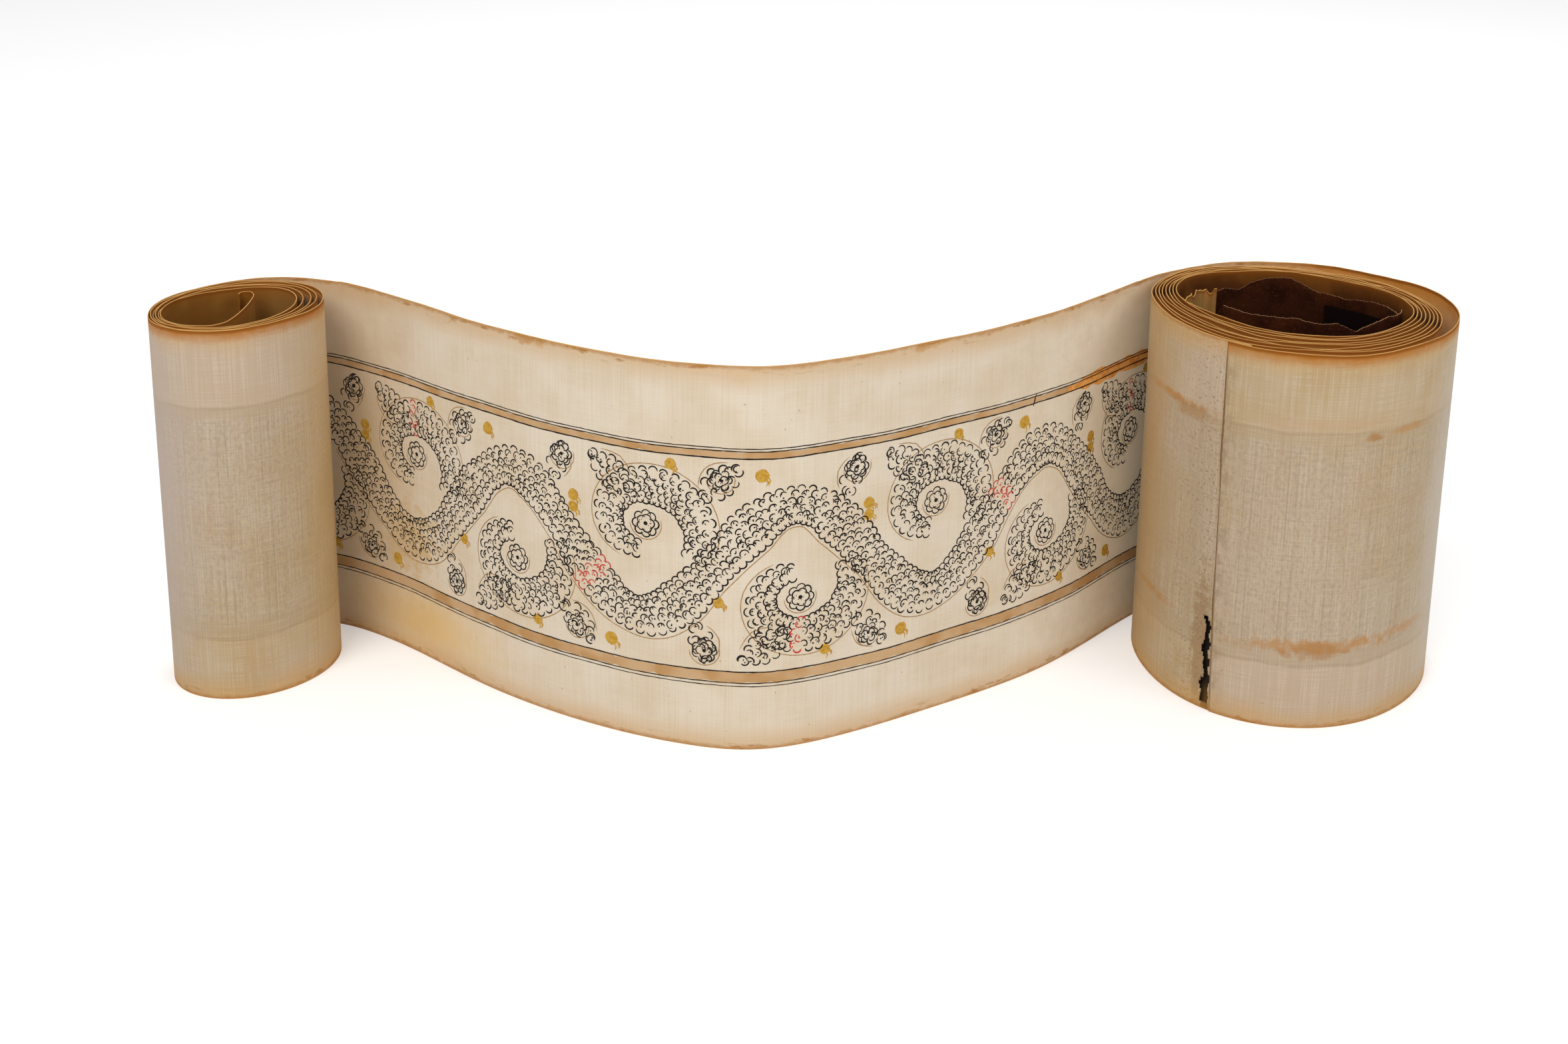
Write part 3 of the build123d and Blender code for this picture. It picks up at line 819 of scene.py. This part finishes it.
# Ink on the text side: flat strokes just above the paper
class Drawing:
    """Strokes and shapes in the flat sheet's own plane, laid on the text side of the standing sheet."""

    def __init__(self, lift):
        self.flat, self.faces, self.lift = [], [], lift

    def stroke(self, points, width, taper=True):
        points = np.asarray(points, float)
        ways = np.gradient(points, axis=0)
        ways /= np.maximum(np.linalg.norm(ways, axis=1), 1e-9)[:, None]
        share = np.ones(len(points))
        if taper:
            share[0], share[-1] = 0.45, 0.3
        side = np.stack((-ways[:, 1], ways[:, 0]), axis=-1) * (np.asarray(width) / 2 * share)[:, None]
        first = len(self.flat)
        for low, high in zip(points - side, points + side):
            self.flat += [low, high]
        for a in range(first, first + 2 * (len(points) - 1), 2):
            self.faces.append((a, a + 2, a + 3, a + 1))

    def shape(self, outline):
        first = len(self.flat)
        self.flat += [np.array(p) for p in outline]
        self.faces.append(tuple(range(first, first + len(outline))))

    def finish(self, name, material):
        along, height = np.array(self.flat).T
        height = lowered(height, rim_wear(along, TEXT_WEAR_SEED, STRIP_WEAR))
        vertices = text_strip.place(along, height, -(THICKNESS / 2 + self.lift))
        add_object(name, vertices, self.faces, material)


wash, dark, faint, ochre, black, red = (Drawing(lift) for lift in (0.02, 0.026, 0.025, 0.029, 0.035, 0.039))
INK_START, INK_END = STRIP_START - 22, STRIP_END + 40
# Tinted bands and pen lines: a height, a width and a seed
WASHES = ((77.5, 1.6, 41), (19.5, 2.8, 43))
RULES = ((79.15, 0.24, 51), (78.45, 0.27, 52), (76.6, 0.34, 53),
         (20.95, 0.32, 54), (17.95, 0.26, 55), (17.1, 0.22, 56))
RULE_SWAY, RULE_TREMOR = 0.18, 0.07


def ruled_line(height, width, seed, into):
    """A pen line that wanders a little and thins where the pen ran dry."""
    along = evenly(INK_START, INK_END, 1.5)
    heights = height + RULE_SWAY * wander(along, 100, 71, 33) + RULE_TREMOR * wander(along, seed, 17, 7, 4.1)
    widths = width * (1 + 0.35 * wander(along, seed + 1, 13, 5, 2.7))
    into.stroke(np.stack((along, heights), axis=-1), widths, False)


for line in WASHES:
    ruled_line(*line, wash)
for line in RULES:
    ruled_line(*line, black)


def arc(centre, radius, start, end, count, squash=1.0, lean=0.0):
    turn = np.linspace(start, end, count)
    x, y = radius * np.cos(turn), radius * squash * np.sin(turn)
    return np.stack((centre[0] + x * cos(lean) - y * sin(lean),
                     centre[1] + x * sin(lean) + y * cos(lean)), axis=-1)


def ring(centre, radius, count):
    """The corners of a round spot."""
    return arc(centre, radius, 0, 2 * pi * (count - 1) / count, count)


def beyond(point, way, reach):
    return point[0] + reach * cos(way), point[1] + reach * sin(way)


def jogged(point, reach):
    return point[0] + draw.gauss(0, reach), point[1] + draw.gauss(0, reach)


SCALE_SIZE, SCALE_PITCH, SCALE_ROW = 1.03, 2.2, 1.95
CONTOUR_GAP = 1.95
ARCH_PEN, TICK_PEN, EDGE_PEN, PETAL_PEN = (0.28, 0.40), (0.26, 0.38), (0.29, 0.43), (0.28, 0.42)


def scale_mark(centre, lean, into):
    """One fish scale: a small arch with ticks and dots inside."""
    centre = jogged(centre, 0.14)
    lean += draw.gauss(0, 0.35)
    start = draw.uniform(-0.5, 0.3)
    into.stroke(arc(centre, SCALE_SIZE * draw.uniform(0.85, 1.15), start, start + draw.uniform(2.4, 3.9), 7,
                    draw.uniform(0.85, 1.15), lean), draw.uniform(*ARCH_PEN))
    for _ in range(draw.choice((1, 1, 2))):
        tick_lean = lean + draw.uniform(0.3, 1.9)
        reach = SCALE_SIZE * draw.uniform(0.4, 0.9)
        start = (centre[0] + draw.uniform(-0.6, 0.5), centre[1] + draw.uniform(-0.7, 0.4))
        halfway = beyond(start, tick_lean, reach / 2)
        tick = [start, (halfway[0], halfway[1] + 0.08), beyond(start, tick_lean, reach)]
        into.stroke(tick, draw.uniform(*TICK_PEN))
    if draw.random() < 0.6:
        spot = (centre[0] + draw.uniform(-0.7, 0.7), centre[1] + draw.uniform(-0.7, 0.4))
        into.shape(ring(spot, draw.uniform(0.20, 0.30), 6))


def ribbon(points, half_widths, contour_side, red_spans=()):
    """A band of scales along a smooth path, edged with arches, and a faint contour line beside it."""
    fine, lengths = curve_through(points, RIBBON_FINENESS)
    total = lengths[-1]
    ways = np.gradient(fine, axis=0)
    ways /= np.linalg.norm(ways, axis=1)[:, None]

    def at(mark):
        half = np.interp(mark / total, np.linspace(0, 1, len(half_widths)), half_widths)
        return between(mark, lengths, fine), between(mark, lengths, ways), half
    count = int(total / SCALE_PITCH)
    for i in range(count + 1):
        mark = total * i / count
        (x, y), (u, v), half = at(mark)
        into = red if any(a <= mark / total <= b for a, b in red_spans) else black
        lean = atan2(v, u)
        inner = max(half - 1.05, 0)
        rows = int(2 * inner / SCALE_ROW + 0.5)
        for k in range(rows + 1):
            r = 0 if rows == 0 else -inner + 2 * inner * k / rows
            shift = SCALE_PITCH / 2 * (k % 2)
            scale_mark((x - v * r + u * shift, y + u * r + v * shift), 0.5 * lean + 0.5, into)
        for side in (1, -1):
            edge = half + 0.1
            centre = jogged((x - v * edge * side, y + u * edge * side), 0.12)
            start = lean if side > 0 else lean + pi
            into.stroke(arc(centre, draw.uniform(0.98, 1.2), start + 0.1, start + pi - 0.1, 7),
                        draw.uniform(*EDGE_PEN))
    line = []
    for mark in evenly(total * 0.06, total * 0.94, 1.4):
        (x, y), (u, v), half = at(mark)
        gap = (half + CONTOUR_GAP + 0.15 * sin(mark / 5)) * contour_side
        line.append((x - v * gap, y + u * gap))
    faint.stroke(line, 0.24)


def rosette(centre, radius, petals=7):
    for circle, count in ((radius, petals), (radius * 0.5, max(petals - 3, 3))):
        for i in range(count):
            turn = 2 * pi * i / count + draw.uniform(-0.1, 0.1)
            petal = beyond(centre, turn, circle * 0.72)
            black.stroke(arc(petal, radius * 0.36, turn - 1.7, turn + 1.7, 7), draw.uniform(*PETAL_PEN))
    black.shape(ring(centre, radius * 0.17, 8))
    for _ in range(petals + 4):
        turn, away = draw.uniform(0, 2 * pi), draw.uniform(0, radius * 0.8)
        black.shape(ring(beyond(centre, turn, away), 0.14, 6))
    faint.stroke(arc(centre, radius + 0.9, 3.2, 6.6, 14), 0.22)


def almond(tip, lean, reach, width):
    """A pointed leaf filled with scales."""
    base = beyond(tip, lean, -reach)
    middle = ((tip[0] + base[0]) / 2 - 0.4 * sin(lean), (tip[1] + base[1]) / 2 + 0.4 * cos(lean))
    ribbon([base, middle, tip], (0.6, width, width * 1.25, width * 0.9, 0.3), draw.choice((1, -1)))


def ochre_drop(centre, size):
    """A blot with three short tails."""
    ochre.shape([(x + draw.uniform(-0.12, 0.12), y + draw.uniform(-0.12, 0.12))
                 for x, y in ring(centre, size, 12)])
    for k in range(3):
        start = (centre[0] + size * (0.2 + 0.28 * k), centre[1] - size * (0.5 - 0.2 * k))
        lean = draw.uniform(-1.2, -0.5)
        ochre.stroke([start, beyond(start, lean, size * 0.8), beyond(start, lean - 0.4, size * 1.3)], 0.42)


# A rolling vine, with a scroll curled round a rosette in each of its hollows
FIELD_MIDDLE = 48.8
FIELD_START, FIELD_END = STRIP_START + 4, STRIP_END + 12
WAVE, RISE, WAVE_START = 78.0, 15.5, 0.9
SCROLL_PLACE, SCROLL_RADIUS, SCROLL_CLOSING = (1.0, 8.5), 13.5, 6.8
SCROLL_WIDE, SCROLL_TALL, SCROLL_START, SCROLL_SWEEP = 1.12, 0.98, 0.55, 5.0
SCROLL_WIDTHS = (2.2, 3.4, 3.9, 3.4, 2.7, 1.4)
VINE_RED, SCROLL_RED = ((0.341, 0.353), (0.705, 0.717)), ((0.50, 0.53),)
# Where things are from a crest. Leaves: the tip, a lean, a reach and a width. Rosettes: a radius and petals
LEAVES = ((-14.5, 25.0, 0.75, 10.5, 2.4), (26.0, 24.5, 2.55, 12.0, 2.6), (17.0, 24.8, 1.25, 8.5, 1.9))
ROSETTES = ((-22.5, -22.6, 3.0, 7), (20.5, -22.3, 2.6, 6))
# Drops: a lift that isn't turned over, and a size. Only every other crest has the last drop
DROPS = ((-8.5, 23.6, 0.0, 1.75), (8.0, -24.6, 0.6, 1.45), (20.0, 9.5, 0.0, 1.5), (-19.0, -12.5, 0.0, 1.6))


def scroll(centre, up, red_spans):
    """Leaves the vine on the way down from a crest and curls back under it."""
    spiral = []
    for t in np.linspace(0, 1, 13):
        radius, turn = SCROLL_RADIUS - SCROLL_CLOSING * t, up * (SCROLL_START - SCROLL_SWEEP * t)
        spiral.append((centre[0] + radius * SCROLL_WIDE * cos(turn),
                       centre[1] + radius * SCROLL_TALL * sin(turn)))
    ribbon(spiral, SCROLL_WIDTHS, up, red_spans)
    rosette((centre[0] + 0.4, centre[1] - up * 0.4), 3.3, 8)


def fill_crest(mark, number):
    """What fills the hollow under a crest, and the corners beside it. Every other crest is turned over."""
    up = -1 if number % 2 else 1
    red_spans = SCROLL_RED if number % 3 == 1 else ()
    scroll((mark + SCROLL_PLACE[0], FIELD_MIDDLE - up * SCROLL_PLACE[1]), up, red_spans)
    for along, rise, lean, reach, width in LEAVES:
        almond((mark + along, FIELD_MIDDLE + up * rise), up * lean, reach, width)
    for along, rise, radius, petals in ROSETTES:
        rosette((mark + along, FIELD_MIDDLE + up * rise), radius, petals)
    for along, rise, lift, size in DROPS if number % 2 else DROPS[:-1]:
        ochre_drop((mark + along, FIELD_MIDDLE + up * rise + lift), size)


vine = [(u, FIELD_MIDDLE + RISE * sin(2 * pi * (u - FIELD_START) / WAVE + WAVE_START))
        for u in evenly(FIELD_START, FIELD_END, 6.5)]
ribbon(vine, [4.3 + 0.7 * sin(k * 1.9) for k in range(len(vine))], -1, VINE_RED)
first_crest = FIELD_START + WAVE * (0.25 - WAVE_START / (2 * pi))
for number, mark in enumerate(np.arange(first_crest, FIELD_END, WAVE / 2)):
    fill_crest(mark, number)

# The band darkens to a thick brown patch near the right roll, and a short pen stroke crosses it
PATCH_START, PATCH_END, PATCH_HEIGHT = STRIP_END - 58, STRIP_END - 8, 77.2
PATCH_EASE, PATCH_THIN, PATCH_THICK = 9.0, 0.9, 3.9
PEN_STROKE = ((-14.0, 76.0), (-13.6, 77.5), (-13.0, 79.2))
patch = evenly(PATCH_START, PATCH_END, 1.2)
thick = np.clip((patch - PATCH_START) / PATCH_EASE, 0, 1)
patch_heights = PATCH_HEIGHT + 0.25 * thick + 0.25 * wander(patch, 61, 13, 6)
dark.stroke(np.stack((patch, patch_heights), axis=-1),
            PATCH_THIN + PATCH_THICK * thick * (0.75 + 0.25 * wander(patch, 62, 17, 7)), False)
black.stroke([(PATCH_START + along, height) for along, height in PEN_STROKE], 0.5)

for drawing, name, material in (
        (wash, "band_washes", band_wash), (dark, "band_stain", dark_wash),
        (black, "black_strokes", black_ink), (red, "red_strokes", red_ink),
        (ochre, "ochre_drops", ochre_wash), (faint, "faint_contours", faint_ink)):
    drawing.finish(name, material)


# Floor, light and camera
FLOOR, FLOOR_GREY, FLOOR_GLOW = 6.0, 0.93, 0.30
SKY_LIGHT = 0.47
WHITE = (1, 1, 1, 1)


def seen_directly(nodes, links):
    """One for rays that see the background itself, also in a mirror or through glass, else nought."""
    rays = nodes.new("ShaderNodeLightPath")
    share = rays.outputs["Is Camera Ray"]
    for kind in ("Is Glossy Ray", "Is Transmission Ray"):
        node = nodes.new("ShaderNodeMath")
        node.operation = "MAXIMUM"
        links.new(share, node.inputs[0])
        links.new(rays.outputs[kind], node.inputs[1])
        share = node.outputs[0]
    return share


def add_floor():
    mesh = bpy.data.meshes.new("floor")
    mesh.from_pydata([(-FLOOR, -FLOOR, 0), (FLOOR, -FLOOR, 0), (FLOOR, FLOOR, 0), (-FLOOR, FLOOR, 0)],
                     [], [(0, 1, 2, 3)])
    paint = Paint("pale_floor", 0.9, 0.1)
    paint.shader.inputs["Base Color"].default_value = (FLOOR_GREY, FLOOR_GREY, FLOOR_GREY, 1)
    paint.shader.inputs["Emission Color"].default_value = WHITE
    seen = seen_directly(paint.nodes, paint.material.node_tree.links)
    paint.put(paint.shader.inputs["Emission Strength"], paint.times(seen, FLOOR_GLOW))
    mesh.materials.append(paint.material)
    floor = bpy.data.objects.new("floor", mesh)
    bpy.context.scene.collection.objects.link(floor)


def add_sky():
    """White where it is seen, and dimmer as a light."""
    world = bpy.data.worlds.new("studio")
    bpy.context.scene.world = world
    world.use_nodes = True
    nodes, links = world.node_tree.nodes, world.node_tree.links
    strength = nodes.new("ShaderNodeMapRange")
    for socket, number in zip(strength.inputs, (0.0, 0.0, 1.0, SKY_LIGHT, 1.0)):
        socket.default_value = number
    links.new(seen_directly(nodes, links), strength.inputs[0])
    links.new(strength.outputs[0], nodes["Background"].inputs["Strength"])
    nodes["Background"].inputs["Color"].default_value = WHITE


def add_lamp(name, place, aim, size, power):
    lamp = bpy.data.lights.new(name, "AREA")
    lamp.shape, lamp.size, lamp.energy = "DISK", size, power
    holder = bpy.data.objects.new(name, lamp)
    holder.location = place
    holder.rotation_euler = (Vector(aim) - Vector(place)).to_track_quat("-Z", "Y").to_euler()
    bpy.context.scene.collection.objects.link(holder)


add_floor()
add_sky()
add_lamp("key_lamp", (-0.55, -1.0, 1.25), (0, 0, 0.04), 0.9, 9.9)
add_lamp("fill_lamp", (0.9, -0.8, 0.9), (0, 0, 0.04), 0.9, 4.3)
add_lamp("back_lamp", (0.2, 0.9, 1.1), (0, 0, 0.06), 0.8, 3.6)

PHOTO_WIDTH, FOCAL_PIXELS = 2355, 3250
SENSOR, LENS_SHIFT = 36.0, -0.15
CAMERA_PLACE, CAMERA_TILT, CAMERA_ROLL = (-0.00699, -0.53075, 0.26034), 16.295, 0.6
camera_data = bpy.data.cameras.new("camera")
camera_data.sensor_width = SENSOR
camera_data.lens = SENSOR * FOCAL_PIXELS / PHOTO_WIDTH
camera_data.shift_y = LENS_SHIFT
camera_data.clip_start = 0.01
camera = bpy.data.objects.new("camera", camera_data)
tilt = Matrix.Rotation(radians(90 - CAMERA_TILT), 4, "X")
roll = Matrix.Rotation(radians(CAMERA_ROLL), 4, "Z")
camera.matrix_world = Matrix.Translation(CAMERA_PLACE) @ tilt @ roll
bpy.context.scene.collection.objects.link(camera)
bpy.context.scene.camera = camera
bpy.context.scene.view_settings.view_transform = "Standard"

bpy.context.view_layer.update()
